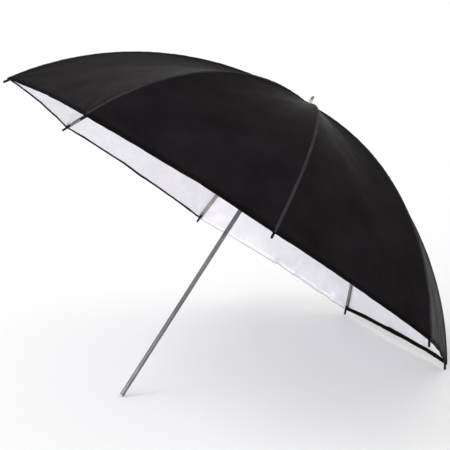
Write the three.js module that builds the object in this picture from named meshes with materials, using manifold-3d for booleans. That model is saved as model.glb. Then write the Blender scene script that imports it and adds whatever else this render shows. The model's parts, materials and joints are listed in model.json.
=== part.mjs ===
// A reflective photographic umbrella: eight ribs and eight stretchers fold along a tubular shaft
// under a black canopy with a silver lining. Millimetres, +Z up. The opened umbrella stands as it
// is put down on a floor, on the end of its shaft and on two neighbouring rib tips, leaning to +X.
//
// Inside the "umbrella" group the shaft is the Z axis, with the plane of the rim corners at z = 0
// and the crown above it. Each spoke (rib, tip, rib joint, stretcher and canopy panel) is built in
// the XZ plane of its own group, which is turned about the shaft to the spoke's azimuth.

import * as THREE from 'three';
import { mergeVertices } from 'three/addons/utils/BufferGeometryUtils.js';
import Module from 'manifold-3d';

const wasm = await Module();
wasm.setup();

// ---------------------------------------------------------------- driving dimensions

const SPOKES = 8;
const SPOKE_STEP = (2 * Math.PI) / SPOKES;

// The opened canopy: its ribs follow one sphere through the crown and the rim corners.
const RIM_RADIUS = 460;
const DOME_HEIGHT = 249;
const FABRIC = { thickness: 0.8, sag: 7, hemSag: 2, scallop: 0.011, innerRadius: 10, jointGap: 0.2 };

// Space left between neighbouring pieces that rest on each other.
const GAP = 0.3;

const SHAFT = { radius: 4, bore: 3.4, end: -351.5, top: 248.6 };
const END_PLUG_LENGTH = 15;
const PIN = { radius: 0.8, hole: 1.1 };
const CROWN_PIN = { radius: 0.7, hole: 1.0, length: 20.4, z: 242.7 };
const STOP_PIN = { length: 11, z: 105.6 };

const CROWN = { inner: 4.3, outer: 10.6, bottom: 240.5, top: 247.1, slotFloor: 5.8, slotWidth: 2.2 };
const CROWN_WIRE = { ring: 8, radius: 0.6, tunnel: 0.9 };

const FERRULE = { shank: 3.1, shankBottom: 228, shankTop: 248.9, tip: 2.6, tipTop: 266 };
const COLLAR = { bore: 2.9, flange: 6, flangeTop: 251.7, body: 4.2, bottom: 250.35, top: 258 };
const PATCH = { inner: 2.9, outer: 12.5, bottom: 249.25, thickness: 0.8 };

// The ribs lie this far under the outer face of the fabric, measured to their centre line.
const RIB_DROP = 3.6;
const RIB = { width: 3.6, depth: 3.0, wall: 0.7, start: 15, eyePlate: 1.4, eye: 1.9, eyeHole: 0.9 };
const TIP = { radius: 2.15, bore: 1.65, boreDepth: 12.5, inside: 11, outside: 9.5 };
const RIB_PEG = { width: 1.7, height: 2.0, overlap: 2, length: 12 };

// The stretcher joins the rib at this share of its length, on a rivet below the channel.
const JOINT_SHARE = 0.45;
const JOINT = { drop: 5, length: 9, earEnd: 6.8, rivet: 0.8, rivetLength: 5 };

const STRETCHER = { width: 3.0, depth: 2.6, wall: 0.6, plate: 1.6, eye: 2.0, eyeHole: 1.15, endPlate: 7 };
const HOOK = { inner: 0.95, outer: 2.2, lip: 0.8 };

const RUNNER_HINGE = { x: 11, z: 100 };
const RUNNER = { inner: 4.25, outer: 7.4, below: 34, above: 4.2, lip: 8.6, lipHeight: 4 };
const KEYWAY = { halfWidth: 1.7, depth: 6.4 };
const NOTCH_RING = { inner: 7.7, outer: 13.6, halfHeight: 4, slotFloor: 8.3, slotWidth: 2.4 };
const RUNNER_WIRE = { radius: 0.6, tunnel: 0.95 };

// The catch: a flat spring inside the shaft with a wedge that stands out just under the runner.
const CATCH = { inner: 2.2, outer: 2.7, nose: 6.0, width: 2.4, bottom: 30, top: 70, noseLength: 7.6 };

const ROUND = { shaft: 24, ring: 24, pin: 10, wire: 6, plate: 5 };
const PANEL = { rows: 12, columns: 6 };
const RIB_STEPS = 14;

// ---------------------------------------------------------------- derived places

const SPHERE_RADIUS = (RIM_RADIUS ** 2 + DOME_HEIGHT ** 2) / (2 * DOME_HEIGHT);
const SPHERE_Z = DOME_HEIGHT - SPHERE_RADIUS;
const RIM_ANGLE = Math.asin(RIM_RADIUS / SPHERE_RADIUS);
const RIB_RADIUS = SPHERE_RADIUS - RIB_DROP;

// A point in a spoke's plane, on a circle about the sphere's centre, at an angle from the shaft.
function onArc(radius, angle) {
  return { x: radius * Math.sin(angle), z: SPHERE_Z + radius * Math.cos(angle) };
}

const RIB_HINGE = onArc(RIB_RADIUS, Math.asin(CROWN_WIRE.ring / RIB_RADIUS));
const RIB_TIP = onArc(RIB_RADIUS, RIM_ANGLE);
const RIB_JOINT_ANGLE = JOINT_SHARE * RIM_ANGLE;
const RIB_JOINT = onArc(RIB_RADIUS - JOINT.drop, RIB_JOINT_ANGLE);
const STRETCHER_RUN = { x: RIB_JOINT.x - RUNNER_HINGE.x, z: RIB_JOINT.z - RUNNER_HINGE.z };
const STRETCHER_LENGTH = Math.hypot(STRETCHER_RUN.x, STRETCHER_RUN.z);
const STRETCHER_RISE = Math.atan2(STRETCHER_RUN.z, STRETCHER_RUN.x);
const RUNNER_BOTTOM = RUNNER_HINGE.z - RUNNER.below;

// The lean that brings the edge of the shaft's end and two rib tips onto one level floor.
function restingLean() {
  const endBall = TIP.outside - TIP.radius;
  const ballRadial = RIB_TIP.x + endBall * Math.cos(RIM_ANGLE);
  const ballZ = RIB_TIP.z - endBall * Math.sin(RIM_ANGLE);
  const across = ballRadial * Math.cos(SPOKE_STEP / 2) - SHAFT.radius;
  const up = ballZ - SHAFT.end;
  return Math.atan2(up, across) - Math.asin(TIP.radius / Math.hypot(across, up));
}

// ---------------------------------------------------------------- materials

function finish(color, roughness, metalness) {
  return new THREE.MeshStandardMaterial({ color, roughness, metalness });
}

const CHROME = finish('#d9dadd', 0.12, 1);
const STEEL = finish('#8b8683', 0.35, 1);
const BRASS = finish('#cdb68c', 0.25, 1);
const SPRING_STEEL = finish('#77797d', 0.3, 1);
const BLACK_PLASTIC = finish('#101011', 0.45, 0);
const BLACK_NYLON = finish('#1c1a1c', 0.5, 0);

// ---------------------------------------------------------------- solid helpers

function solidOf(geometry) {
  const bare = geometry.clone();
  bare.deleteAttribute('normal');
  bare.deleteAttribute('uv');
  const merged = mergeVertices(bare, 1e-4);
  return new wasm.Manifold(new wasm.Mesh({
    numProp: 3,
    vertProperties: new Float32Array(merged.attributes.position.array),
    triVerts: new Uint32Array(merged.index.array),
  }));
}

function geometryOf(solid) {
  const mesh = solid.getMesh();
  const geometry = new THREE.BufferGeometry();
  geometry.setAttribute('position', new THREE.BufferAttribute(new Float32Array(mesh.vertProperties), 3));
  geometry.setIndex(new THREE.BufferAttribute(new Uint32Array(mesh.triVerts), 1));
  return shaded(geometry);
}

function shaded(geometry) {
  const faceted = geometry.index ? geometry.toNonIndexed() : geometry;
  faceted.computeVertexNormals();
  return faceted;
}

function join(...geometries) {
  return geometryOf(geometries.map(solidOf).reduce((sum, solid) => sum.add(solid)));
}

function cut(geometry, ...tools) {
  return geometryOf(tools.reduce((left, tool) => left.subtract(solidOf(tool)), solidOf(geometry)));
}

// A solid of revolution about Z from [radius, z] points, listed from bottom to top on the outside.
function turned(profile, segments) {
  const points = profile.map(([radius, z]) => new THREE.Vector2(radius, z));
  return new THREE.LatheGeometry(points, segments).rotateX(Math.PI / 2);
}

function tube(inner, outer, bottom, top, segments) {
  return turned([[inner, bottom], [outer, bottom], [outer, top], [inner, top], [inner, bottom]], segments);
}

function ringWire(ring, radius, z) {
  const profile = [];
  for (let i = 0; i <= ROUND.wire; i += 1) {
    const turn = (2 * Math.PI * i) / ROUND.wire;
    profile.push([ring + radius * Math.cos(turn), z + radius * Math.sin(turn)]);
  }
  return turned(profile, ROUND.ring);
}

// A round bar along X, centred on the shaft.
function crossBar(radius, length, z) {
  return new THREE.CylinderGeometry(radius, radius, length, ROUND.pin)
    .rotateZ(Math.PI / 2)
    .translate(0, 0, z);
}

function block(low, high) {
  const size = high.map((value, axis) => value - low[axis]);
  const middle = high.map((value, axis) => (value + low[axis]) / 2);
  return new THREE.BoxGeometry(...size).translate(...middle);
}

// A flat plate in the XZ plane, its thickness centred on the plane.
function plate(shape, thickness) {
  return new THREE.ExtrudeGeometry(shape, { depth: thickness, bevelEnabled: false, curveSegments: ROUND.plate })
    .translate(0, 0, -thickness / 2)
    .rotateX(Math.PI / 2);
}

// A section swept along a path in the XZ plane. Its x runs across the plane, its y towards the inside.
function swept(section, path, steps) {
  const shape = new THREE.Shape(section.map(([x, y]) => new THREE.Vector2(x, y)));
  return new THREE.ExtrudeGeometry(shape, { steps, extrudePath: path, bevelEnabled: false });
}

// A U-shaped section with its closed side outwards.
function channelSection({ width, depth, wall }) {
  const x = width / 2;
  const y = depth / 2;
  return [
    [-x, -y], [x, -y], [x, y], [x - wall, y],
    [x - wall, wall - y], [wall - x, wall - y], [wall - x, y], [-x, y],
  ];
}

function spokeAzimuth(index) {
  return (index + 0.5) * SPOKE_STEP;
}

// Slots through a ring, one on each spoke, from the given radius outwards.
function ringSlots(floor, width, bottom, top, outer) {
  return Array.from({ length: SPOKES }, (_, index) => (
    block([floor, -width / 2, bottom - 1], [outer + 1, width / 2, top + 1]).rotateZ(spokeAzimuth(index))
  ));
}

function piece(name, geometry, material) {
  const mesh = new THREE.Mesh(shaded(geometry), material);
  mesh.name = name;
  return mesh;
}

// ---------------------------------------------------------------- shaft, crown and ferrule

function shaftTube() {
  const window = block([-KEYWAY.halfWidth, -SHAFT.radius - 1, RUNNER_BOTTOM - GAP - CATCH.noseLength - 1],
    [KEYWAY.halfWidth, -CATCH.outer, RUNNER_BOTTOM + GAP]);
  return cut(
    tube(SHAFT.bore, SHAFT.radius, SHAFT.end, SHAFT.top, ROUND.shaft),
    window,
    crossBar(PIN.hole, 4 * SHAFT.radius, STOP_PIN.z),
    crossBar(CROWN_PIN.hole, 4 * SHAFT.radius, CROWN_PIN.z),
  );
}

function endPlug() {
  const radius = SHAFT.bore - GAP;
  return turned([[0, SHAFT.end], [radius, SHAFT.end], [radius, SHAFT.end + END_PLUG_LENGTH],
    [0, SHAFT.end + END_PLUG_LENGTH]], ROUND.shaft);
}

function crown() {
  return cut(
    tube(CROWN.inner, CROWN.outer, CROWN.bottom, CROWN.top, ROUND.ring),
    ringWire(CROWN_WIRE.ring, CROWN_WIRE.tunnel, RIB_HINGE.z),
    crossBar(CROWN_PIN.hole, 4 * CROWN.outer, CROWN_PIN.z),
    ...ringSlots(CROWN.slotFloor, CROWN.slotWidth, CROWN.bottom, CROWN.top, CROWN.outer),
  );
}

function ferrulePin() {
  const { shank, shankBottom, shankTop, tip, tipTop } = FERRULE;
  const profile = [[0, shankBottom], [shank, shankBottom], [shank, shankTop], [tip, shankTop]];
  const roundSteps = 4;
  for (let i = 0; i <= roundSteps; i += 1) {
    const turn = (Math.PI / 2) * (i / roundSteps);
    profile.push([i === roundSteps ? 0 : tip * Math.cos(turn), tipTop - tip + tip * Math.sin(turn)]);
  }
  return cut(turned(profile, ROUND.shaft), crossBar(CROWN_PIN.hole, 4 * shank, CROWN_PIN.z));
}

function ferruleCollar() {
  const { bore, flange, flangeTop, body, bottom, top } = COLLAR;
  const chamfer = 0.8;
  return turned([[bore, bottom], [flange, bottom], [flange, flangeTop], [body, flangeTop + chamfer],
    [body, top - chamfer], [body - chamfer, top], [bore, top], [bore, bottom]], ROUND.shaft);
}

function canopyPatch() {
  return tube(PATCH.inner, PATCH.outer, PATCH.bottom, PATCH.bottom + PATCH.thickness, ROUND.shaft);
}

function fixedPieces() {
  return [
    piece('shaft_tube', shaftTube(), CHROME),
    piece('end_plug', endPlug(), BLACK_PLASTIC),
    piece('stop_pin', crossBar(PIN.radius, STOP_PIN.length, STOP_PIN.z), STEEL),
    piece('crown', crown(), BLACK_PLASTIC),
    piece('crown_wire', ringWire(CROWN_WIRE.ring, CROWN_WIRE.radius, RIB_HINGE.z), STEEL),
    piece('crown_pin', crossBar(CROWN_PIN.radius, CROWN_PIN.length, CROWN_PIN.z), STEEL),
    piece('ferrule_pin', ferrulePin(), CHROME),
    piece('ferrule_collar', ferruleCollar(), BRASS),
    piece('canopy_patch', canopyPatch(), BLACK_NYLON),
  ];
}

// The wedge of the catch points to -Y. Its level top stops the runner, its slope lets it pass upwards.
function catchSpring() {
  const { inner, outer, nose, width, bottom, top, noseLength } = CATCH;
  const noseTop = RUNNER_BOTTOM - GAP;
  const profile = new THREE.Shape([
    new THREE.Vector2(inner, bottom), new THREE.Vector2(outer, bottom),
    new THREE.Vector2(outer, noseTop - noseLength), new THREE.Vector2(nose, noseTop - 1),
    new THREE.Vector2(nose, noseTop), new THREE.Vector2(outer, noseTop),
    new THREE.Vector2(outer, top), new THREE.Vector2(inner, top),
  ]);
  return plate(profile, width).rotateZ(-Math.PI / 2);
}

// ---------------------------------------------------------------- runner

function runnerSleeve() {
  const { inner, outer, above, lip, lipHeight } = RUNNER;
  const top = RUNNER_HINGE.z + above;
  const sleeve = turned([[inner, RUNNER_BOTTOM], [lip, RUNNER_BOTTOM], [lip, RUNNER_BOTTOM + lipHeight],
    [outer, RUNNER_BOTTOM + lipHeight + 1], [outer, top], [inner, top], [inner, RUNNER_BOTTOM]], ROUND.shaft);
  const keyway = block([-KEYWAY.halfWidth, -KEYWAY.depth, RUNNER_BOTTOM - 1], [KEYWAY.halfWidth, 0, top + 1]);
  return cut(sleeve, keyway);
}

function notchRing() {
  const bottom = RUNNER_HINGE.z - NOTCH_RING.halfHeight;
  const top = RUNNER_HINGE.z + NOTCH_RING.halfHeight;
  return cut(
    tube(NOTCH_RING.inner, NOTCH_RING.outer, bottom, top, ROUND.ring),
    ringWire(RUNNER_HINGE.x, RUNNER_WIRE.tunnel, RUNNER_HINGE.z),
    ...ringSlots(NOTCH_RING.slotFloor, NOTCH_RING.slotWidth, bottom, top, NOTCH_RING.outer),
  );
}

function runnerPieces() {
  return [
    piece('runner_sleeve', runnerSleeve(), CHROME),
    piece('runner_notch_ring', notchRing(), BLACK_PLASTIC),
    piece('runner_wire', ringWire(RUNNER_HINGE.x, RUNNER_WIRE.radius, RUNNER_HINGE.z), STEEL),
  ];
}

// ---------------------------------------------------------------- one spoke

// An arc of the rib's circle in the spoke's plane, measured from the rib's hinge.
class RibArc extends THREE.Curve {
  constructor(from, to) {
    super();
    this.from = from;
    this.to = to;
  }

  getPoint(share, target = new THREE.Vector3()) {
    const at = onArc(RIB_RADIUS, THREE.MathUtils.lerp(this.from, this.to, share));
    return target.set(at.x - RIB_HINGE.x, 0, at.z - RIB_HINGE.z);
  }
}

// A bar that ends in a round eye at the origin and runs along X to the given end.
function eyeBar(radius, hole, low, high, end) {
  const shape = new THREE.Shape();
  shape.moveTo(end, low);
  shape.lineTo(end, high);
  shape.absarc(0, 0, radius, Math.asin(high / radius), 2 * Math.PI + Math.asin(low / radius), false);
  const bore = new THREE.Path();
  bore.absarc(0, 0, hole, 0, 2 * Math.PI, true);
  shape.holes.push(bore);
  return shape;
}

// The direction of the rib at its tip, as a turn about Y.
function alongTip(geometry) {
  return geometry
    .rotateY(RIM_ANGLE)
    .translate(RIB_TIP.x - RIB_HINGE.x, 0, RIB_TIP.z - RIB_HINGE.z);
}

function rib() {
  const from = Math.asin(RIB.start / RIB_RADIUS);
  const to = RIM_ANGLE - (TIP.inside + GAP) / RIB_RADIUS;
  const channel = swept(channelSection(RIB), new RibArc(from, to), RIB_STEPS);
  const eyeReach = RIB.start - RIB_HINGE.x + 5;
  const web = RIB.depth / 2 - RIB.wall;
  const eye = plate(eyeBar(RIB.eye, RIB.eyeHole, -1.3, web + GAP, eyeReach), RIB.eyePlate);
  const pegStart = -TIP.inside - GAP - RIB_PEG.overlap;
  const peg = alongTip(block([pegStart, -RIB_PEG.width / 2, -RIB_PEG.height / 2],
    [pegStart + RIB_PEG.length, RIB_PEG.width / 2, RIB_PEG.height / 2]));
  return join(channel, eye, peg);
}

function ribTip() {
  const { radius, bore, boreDepth, inside, outside } = TIP;
  const length = inside + outside;
  const profile = [[0, boreDepth], [bore, boreDepth], [bore, 0], [radius, 0]];
  const roundSteps = 4;
  for (let i = 0; i <= roundSteps; i += 1) {
    const turn = (Math.PI / 2) * (i / roundSteps);
    profile.push([i === roundSteps ? 0 : radius * Math.cos(turn), length - radius + radius * Math.sin(turn)]);
  }
  return alongTip(turned(profile, ROUND.pin).rotateY(Math.PI / 2).translate(-inside, 0, 0));
}

// A bracket that holds the rib's channel from below, with two ears and the rivet between them.
function ribJoint() {
  const hug = RIB.width / 2 + GAP;
  const outer = hug + 0.7;
  const ear = { inner: 1.2, outer: 1.9 };
  const bridge = { top: RIB.depth / 2 + GAP, bottom: RIB.depth / 2 + GAP + 0.8 };
  const sideTop = -0.9;
  const section = [
    [-outer, sideTop], [-hug, sideTop], [-hug, bridge.top], [hug, bridge.top],
    [hug, sideTop], [outer, sideTop], [outer, bridge.bottom], [ear.outer, bridge.bottom],
    [ear.outer, JOINT.earEnd], [ear.inner, JOINT.earEnd], [ear.inner, bridge.bottom],
    [-ear.inner, bridge.bottom], [-ear.inner, JOINT.earEnd], [-ear.outer, JOINT.earEnd],
    [-ear.outer, bridge.bottom], [-outer, bridge.bottom],
  ];
  const half = JOINT.length / 2 / RIB_RADIUS;
  const bracket = swept(section, new RibArc(RIB_JOINT_ANGLE - half, RIB_JOINT_ANGLE + half), 1);
  const rivet = new THREE.CylinderGeometry(JOINT.rivet, JOINT.rivet, JOINT.rivetLength, ROUND.pin)
    .translate(RIB_JOINT.x - RIB_HINGE.x, 0, RIB_JOINT.z - RIB_HINGE.z);
  return join(bracket, rivet);
}

// The open hook that sits on the runner's wire, at the origin. It is open above and outwards, so the
// wire can leave it: this is the pivot at which the folding linkage is opened.
function hookShape(reach, web) {
  const { inner, outer, lip } = HOOK;
  const shape = new THREE.Shape();
  shape.moveTo(-inner, lip);
  shape.absarc(0, 0, inner, Math.PI, Math.PI * 1.6, false);
  shape.lineTo(2.6, -inner);
  shape.lineTo(STRETCHER.endPlate + 0.5, web);
  shape.lineTo(reach, web);
  shape.lineTo(reach, -1);
  shape.lineTo(STRETCHER.endPlate + 0.5, -1);
  shape.lineTo(3, -outer);
  shape.absarc(0, 0, outer, Math.PI * 1.5, Math.PI, true);
  shape.lineTo(-outer, lip);
  return shape;
}

// Built along X from the hook at -STRETCHER_LENGTH to the riveted eye at the origin.
function stretcher() {
  const web = STRETCHER.depth / 2 - STRETCHER.wall + GAP;
  const line = new THREE.LineCurve3(
    new THREE.Vector3(STRETCHER.endPlate - STRETCHER_LENGTH, 0, 0),
    new THREE.Vector3(-STRETCHER.endPlate, 0, 0),
  );
  const channel = swept(channelSection(STRETCHER), line, 1);
  const reach = STRETCHER.endPlate + 4;
  const hook = plate(hookShape(reach, web), STRETCHER.plate).translate(-STRETCHER_LENGTH, 0, 0);
  const eye = plate(eyeBar(STRETCHER.eye, STRETCHER.eyeHole, -web, web, reach), STRETCHER.plate)
    .rotateY(Math.PI);
  return join(channel, hook, eye);
}

// The outer face of a panel in its spoke's frame. across runs from -1 to 1, from one gore's middle
// over the rib to the next gore's middle, and along from 0 at the shaft to 1 at the rim. Between two
// ribs the cloth is stretched on straight chords and sinks towards the middle of the gore.
function onCanopy(across, along) {
  const side = Math.abs(across);
  const sink = side * (2 - side);
  const angle = RIM_ANGLE * along * (1 - FABRIC.scallop * sink);
  const { x: radial, z } = onArc(SPHERE_RADIUS, angle);
  const chord = side / 2;
  const point = new THREE.Vector3(
    radial * (1 - chord + chord * Math.cos(SPOKE_STEP)),
    Math.sign(across) * radial * chord * Math.sin(SPOKE_STEP),
    z,
  );
  const depth = sink * (FABRIC.sag * Math.sin(Math.PI * along) + FABRIC.hemSag * along);
  return point.addScaledVector(inwards(point), depth);
}

function inwards(point) {
  return new THREE.Vector3(0, 0, SPHERE_Z).sub(point).normalize();
}

// Half a gore on each side of the rib, as one thin closed shell.
function canopyPanel() {
  const { rows, columns } = PANEL;
  const positions = [];
  const start = Math.asin(FABRIC.innerRadius / SPHERE_RADIUS) / RIM_ANGLE;
  for (const depth of [0, FABRIC.thickness]) {
    for (let row = 0; row <= rows; row += 1) {
      for (let column = 0; column <= columns; column += 1) {
        const across = (2 * column) / columns - 1;
        const point = onCanopy(across, THREE.MathUtils.lerp(start, 1, row / rows));
        if (Math.abs(across) === 1) {
          point.x += FABRIC.jointGap * Math.sin(SPOKE_STEP / 2);
          point.y -= Math.sign(across) * FABRIC.jointGap * Math.cos(SPOKE_STEP / 2);
        }
        point.addScaledVector(inwards(point), depth);
        positions.push(point.x - RIB_HINGE.x, point.y, point.z - RIB_HINGE.z);
      }
    }
  }
  const layer = (rows + 1) * (columns + 1);
  const at = (depth, row, column) => depth * layer + row * (columns + 1) + column;
  const triangles = [];
  const quad = (a, b, c, d) => triangles.push(a, b, c, a, c, d);
  for (let row = 0; row < rows; row += 1) {
    for (let column = 0; column < columns; column += 1) {
      quad(at(0, row, column), at(0, row + 1, column), at(0, row + 1, column + 1), at(0, row, column + 1));
      quad(at(1, row, column), at(1, row, column + 1), at(1, row + 1, column + 1), at(1, row + 1, column));
    }
    quad(at(0, row, 0), at(1, row, 0), at(1, row + 1, 0), at(0, row + 1, 0));
    quad(at(0, row, columns), at(0, row + 1, columns), at(1, row + 1, columns), at(1, row, columns));
  }
  for (let column = 0; column < columns; column += 1) {
    quad(at(0, 0, column), at(0, 0, column + 1), at(1, 0, column + 1), at(1, 0, column));
    quad(at(0, rows, column), at(1, rows, column), at(1, rows, column + 1), at(0, rows, column + 1));
  }
  const geometry = new THREE.BufferGeometry();
  geometry.setAttribute('position', new THREE.Float32BufferAttribute(positions, 3));
  geometry.setIndex(triangles);
  return geometry;
}

function spoke(index, shapes) {
  const number = index + 1;
  const turnedOut = new THREE.Group();
  turnedOut.rotation.z = spokeAzimuth(index);
  const ribPivot = new THREE.Group();
  ribPivot.name = `rib_pivot_${number}`;
  ribPivot.position.set(RIB_HINGE.x, 0, RIB_HINGE.z);
  const stretcherPivot = new THREE.Group();
  stretcherPivot.name = `stretcher_pivot_${number}`;
  stretcherPivot.position.set(RIB_JOINT.x - RIB_HINGE.x, 0, RIB_JOINT.z - RIB_HINGE.z);
  stretcherPivot.rotation.y = -STRETCHER_RISE;
  stretcherPivot.add(piece(`stretcher_${number}`, shapes.stretcher, STEEL));
  ribPivot.add(
    piece(`rib_${number}`, shapes.rib, STEEL),
    piece(`rib_tip_${number}`, shapes.tip, BLACK_PLASTIC),
    piece(`rib_joint_${number}`, shapes.joint, STEEL),
    piece(`canopy_panel_${number}`, shapes.panel, BLACK_NYLON),
    stretcherPivot,
  );
  turnedOut.add(ribPivot);
  return turnedOut;
}

// ---------------------------------------------------------------- the whole umbrella

function buildUmbrella() {
  const umbrella = new THREE.Group();
  umbrella.name = 'umbrella';
  umbrella.add(...fixedPieces(), ...runnerPieces(), piece('catch_spring', catchSpring(), SPRING_STEEL));
  const shapes = {
    rib: rib(), tip: ribTip(), joint: ribJoint(), stretcher: stretcher(), panel: canopyPanel(),
  };
  for (let index = 0; index < SPOKES; index += 1) {
    umbrella.add(spoke(index, shapes));
  }
  umbrella.rotation.y = restingLean();
  return umbrella;
}

// The origin is on the floor, under the middle of the whole object.
function standOnFloor(umbrella) {
  const stand = new THREE.Group();
  stand.add(umbrella);
  stand.updateMatrixWorld(true);
  const bounds = new THREE.Box3().setFromObject(umbrella, true);
  const middle = bounds.getCenter(new THREE.Vector3());
  umbrella.position.set(-middle.x, -middle.y, -bounds.min.z);
  stand.updateMatrixWorld(true);
  return stand;
}

export default standOnFloor(buildUmbrella());
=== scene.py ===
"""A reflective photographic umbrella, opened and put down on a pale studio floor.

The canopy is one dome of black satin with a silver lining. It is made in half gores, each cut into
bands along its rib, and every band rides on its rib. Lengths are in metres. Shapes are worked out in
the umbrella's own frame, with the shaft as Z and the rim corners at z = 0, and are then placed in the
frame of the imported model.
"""

import json
import math

import bpy
import numpy as np
from mathutils import Matrix, Vector


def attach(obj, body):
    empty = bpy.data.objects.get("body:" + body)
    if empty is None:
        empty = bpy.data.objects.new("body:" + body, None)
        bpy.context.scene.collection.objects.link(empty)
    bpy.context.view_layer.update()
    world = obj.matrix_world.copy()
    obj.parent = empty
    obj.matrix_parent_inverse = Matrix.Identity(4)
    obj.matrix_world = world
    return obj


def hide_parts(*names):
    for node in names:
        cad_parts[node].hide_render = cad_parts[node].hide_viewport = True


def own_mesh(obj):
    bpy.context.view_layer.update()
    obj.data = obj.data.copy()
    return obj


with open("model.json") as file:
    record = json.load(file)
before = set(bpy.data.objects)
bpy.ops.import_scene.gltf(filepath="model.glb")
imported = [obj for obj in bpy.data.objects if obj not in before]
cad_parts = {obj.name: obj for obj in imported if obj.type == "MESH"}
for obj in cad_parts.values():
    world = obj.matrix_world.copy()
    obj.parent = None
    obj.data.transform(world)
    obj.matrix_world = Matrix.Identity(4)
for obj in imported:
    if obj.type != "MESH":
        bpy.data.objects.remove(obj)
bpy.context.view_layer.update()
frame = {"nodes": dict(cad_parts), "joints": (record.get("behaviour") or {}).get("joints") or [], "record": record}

# ---------------------------------------------------------------- driving dimensions

SPOKES = 8
SPOKE_STEP = 2 * math.pi / SPOKES
RIM_RADIUS = 0.460
DOME_HEIGHT = 0.249
SPHERE_RADIUS = (RIM_RADIUS**2 + DOME_HEIGHT**2) / (2 * DOME_HEIGHT)
SPHERE_Z = DOME_HEIGHT - SPHERE_RADIUS
RIM_ANGLE = math.asin(RIM_RADIUS / SPHERE_RADIUS)
ARC_LENGTH = SPHERE_RADIUS * RIM_ANGLE

CLOTH = {"thickness": 0.0006, "sag": 0.007, "crown_sag": 0.003, "hem_sag": 0.002, "scallop": 0.011,
         "inner_radius": 0.007}
# Shares of the rib's length at which the small bands near the crown end; then the even ones follow.
CROWN_BANDS = (0.055, 0.11, 0.19)
EVEN_BANDS = 10
ROW_LENGTH = 0.003
HALF_COLUMNS = 24

SHAFT = {"radius": 0.004, "bore": 0.0034, "end": -0.3515, "top": 0.2486}
PLUG_LENGTH = 0.015
RIB_DROP = 0.0036
RIB_RADIUS = SPHERE_RADIUS - RIB_DROP
RIB = {"width": 0.0036, "depth": 0.0030, "wall": 0.0007, "start": 0.015, "hinge_ring": 0.008}
TIP = {"radius": 0.00215, "bore": 0.00165, "bore_depth": 0.0125, "inside": 0.011, "outside": 0.0095}
CROWN = {"inner": 0.0043, "outer": 0.0106, "bottom": 0.2405, "top": 0.2471}
CROWN_SLOT = {"floor": 0.0058, "width": 0.0022}
RUNNER = {"z": 0.100, "inner": 0.00425, "outer": 0.0074, "below": 0.034, "above": 0.0042}
RUNNER_LIP = {"radius": 0.0086, "height": 0.004}
KEYWAY = {"half_width": 0.0017, "depth": 0.0064}
NOTCH_RING = {"inner": 0.0077, "outer": 0.0136, "half_height": 0.004}
NOTCH_SLOT = {"floor": 0.0083, "width": 0.0024}
CATCH_NOSE = 0.0076
PIN = {"bottom": 0.228, "shank": 0.0031, "shank_top": 0.2489, "groove": 0.260, "tip": 0.0026, "top": 0.266}
COLLAR_RING = {"bore": 0.0029, "flange": 0.0060, "body": 0.0042, "bottom": 0.25035, "flange_top": 0.2517,
               "top": 0.2580}
PATCH = {"inner": 0.0029, "outer": 0.0125, "bottom": 0.24925, "top": 0.25005}
GAP = 0.0003

CAMERA = {"azimuth": -25.8, "elevation": 15.9, "roll": -1.8, "distance": 3.001, "lens": 138.2}
CAMERA_TARGET = Vector((-0.0104, 0.0013, 0.2759))

# ---------------------------------------------------------------- the umbrella's frame

joints = {joint["name"]: joint for joint in frame["joints"]}
mounts = {mount["name"]: mount for mount in frame["record"]["mounts"]}
nodes = frame["nodes"]

UP = -Vector(joints["runner_slide"]["axis"]).normalized()
ACROSS = Vector((0, 1, 0))
AHEAD = ACROSS.cross(UP)
RIM_CENTRE = Vector(mounts["shaft_end"]["pos_m"]) - UP * SHAFT["end"]
UMBRELLA = Matrix.Translation(RIM_CENTRE) @ Matrix((AHEAD, ACROSS, UP)).transposed().to_4x4()

# How far the ribs turn in towards the shaft as the umbrella closes.
CLOSING_TURN = math.radians(joints["rib_fold_1"]["range_deg"][1])


def azimuth(number):
    """The azimuth of a rib, numbered from 1, in the umbrella's frame."""
    return (number - 0.5) * SPOKE_STEP


def spoke_frame(number):
    """A rib's frame: X outwards from the shaft, Y across the rib and Z up the shaft."""
    return UMBRELLA @ Matrix.Rotation(azimuth(number), 4, "Z")


def on_arc(radius, angle):
    """(distance from the shaft, height) on a circle about the dome's centre."""
    return radius * math.sin(angle), SPHERE_Z + radius * math.cos(angle)


HINGE = on_arc(RIB_RADIUS, math.asin(RIB["hinge_ring"] / RIB_RADIUS))

# ---------------------------------------------------------------- materials


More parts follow.
